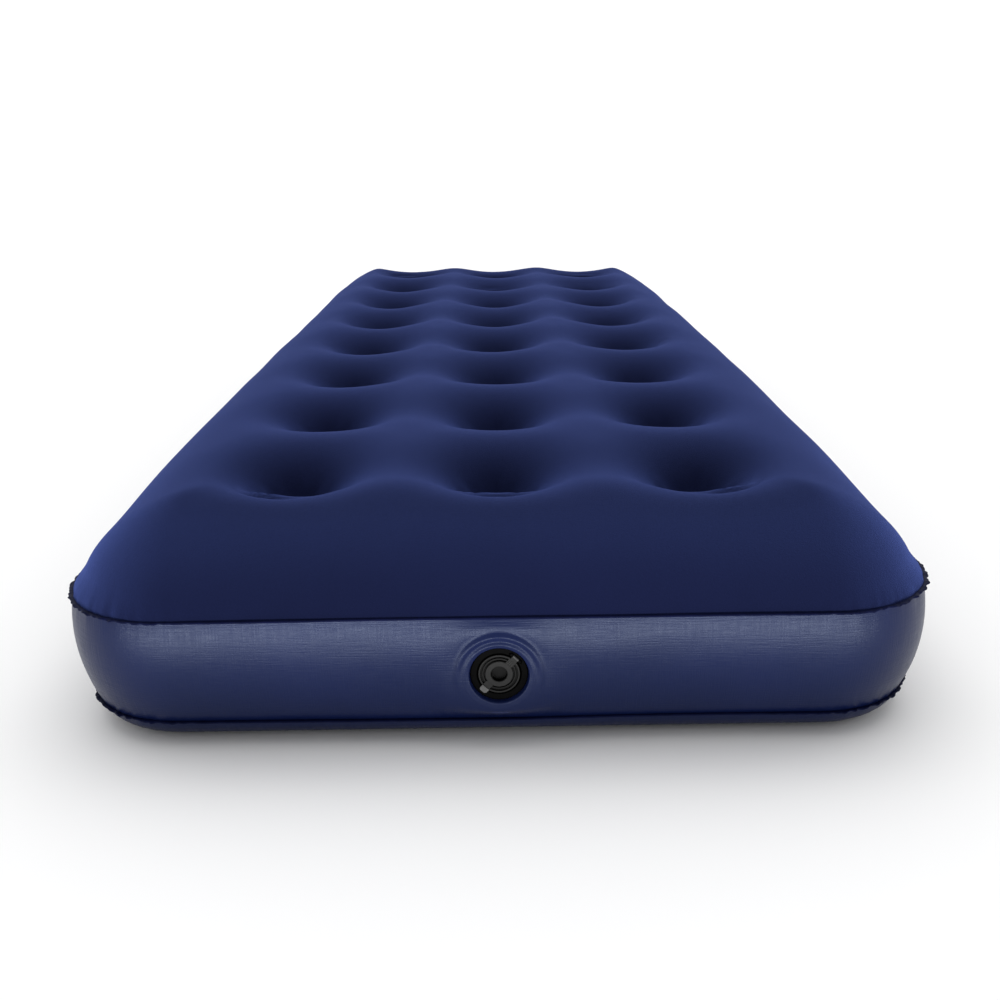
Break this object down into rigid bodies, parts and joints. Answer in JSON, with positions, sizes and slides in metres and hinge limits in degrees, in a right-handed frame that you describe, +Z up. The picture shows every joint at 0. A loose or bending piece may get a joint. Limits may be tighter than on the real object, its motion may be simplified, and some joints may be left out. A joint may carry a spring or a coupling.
{
  "type": "air mattress",
  "caption": "Single-size inflated air bed with a dimpled flocked top, a vinyl side band, tubular coil beams inside and a screw-in two-way valve in the foot end.",
  "frame": {"origin": "on the floor, under the middle of the bed's length and width", "axes": "+X across the bed, to the right as seen from the valve end; +Y along the bed, from the valve end to the head end; +Z up"},
  "size_m": [0.768, 1.8596, 0.207],
  "materials": {
    "flocked_top": "short velvety navy flock on vinyl",
    "vinyl_side": "semi-gloss navy vinyl with a fine woven emboss",
    "vinyl_base": "semi-gloss navy vinyl, lightly embossed",
    "weld_seam": "high-frequency weld, smooth, slightly darker than the band",
    "inner_film": "thin plain vinyl film",
    "valve_collar_blue": "soft moulded vinyl, satin, navy like the band",
    "valve_black": "moulded black plastic, satin",
    "seal_rubber": "matt soft rubber"
  },
  "bodies": {
    "mattress": {"top_panel": "flocked_top", "bottom_panel": "vinyl_base", "side_band": "vinyl_side", "band_joint_strip": "vinyl_side", "top_seam": "weld_seam", "bottom_seam": "weld_seam", "lower_weld_rings": "inner_film", "upper_weld_rings": "inner_film", "coil_beam_row1_left": "inner_film", "coil_beam_row1_middle": "inner_film", "coil_beam_row1_right": "inner_film", "coil_beam_row2_left": "inner_film", "coil_beam_row2_middle": "inner_film", "coil_beam_row2_right": "inner_film", "coil_beam_row3_left": "inner_film", "coil_beam_row3_middle": "inner_film", "coil_beam_row3_right": "inner_film", "coil_beam_row4_left": "inner_film", "coil_beam_row4_middle": "inner_film", "coil_beam_row4_right": "inner_film", "coil_beam_row5_left": "inner_film", "coil_beam_row5_middle": "inner_film", "coil_beam_row5_right": "inner_film", "coil_beam_row6_left": "inner_film", "coil_beam_row6_middle": "inner_film", "coil_beam_row6_right": "inner_film", "coil_beam_row7_left": "inner_film", "coil_beam_row7_middle": "inner_film", "coil_beam_row7_right": "inner_film", "coil_beam_row8_left": "inner_film", "coil_beam_row8_middle": "inner_film", "coil_beam_row8_right": "inner_film", "valve_collar": "valve_collar_blue", "valve_backing_ring": "valve_collar_blue"},
    "gasket": {"body_gasket": "seal_rubber"},
    "valve_housing": {"valve_body": "valve_black", "cap_hinge_pin": "valve_black", "flap_hinge_pin": "valve_black"},
    "cap": {"port_cap": "valve_black", "cap_seal": "seal_rubber"},
    "flap": {"check_flap": "seal_rubber"}
  },
  "joints": [
    {"name": "body_lift", "type": "slide", "parent": "mattress", "child": "gasket", "axis": [0, -1, 0], "range_m": [0, 0.018]},
    {"name": "body_turn", "type": "hinge", "parent": "gasket", "child": "valve_housing", "pos_m": [0, -0.9285, 0.071], "axis": [0, -1, 0], "range_deg": [0, 1080]},
    {"name": "cap_flip", "type": "hinge", "parent": "valve_housing", "child": "cap", "pos_m": [0.01375, -0.9251, 0.08524], "axis": [-0.7193, 0, 0.6947], "range_deg": [0, 120]},
    {"name": "flap_swing", "type": "hinge", "parent": "valve_housing", "child": "flap", "pos_m": [0, -0.9062, 0.0856], "axis": [1, 0, 0], "range_deg": [0, 70]}
  ],
  "couplings": [
    {"joint": "body_lift", "follows": "body_turn", "m_per_rad": 0.00095492}
  ]
}
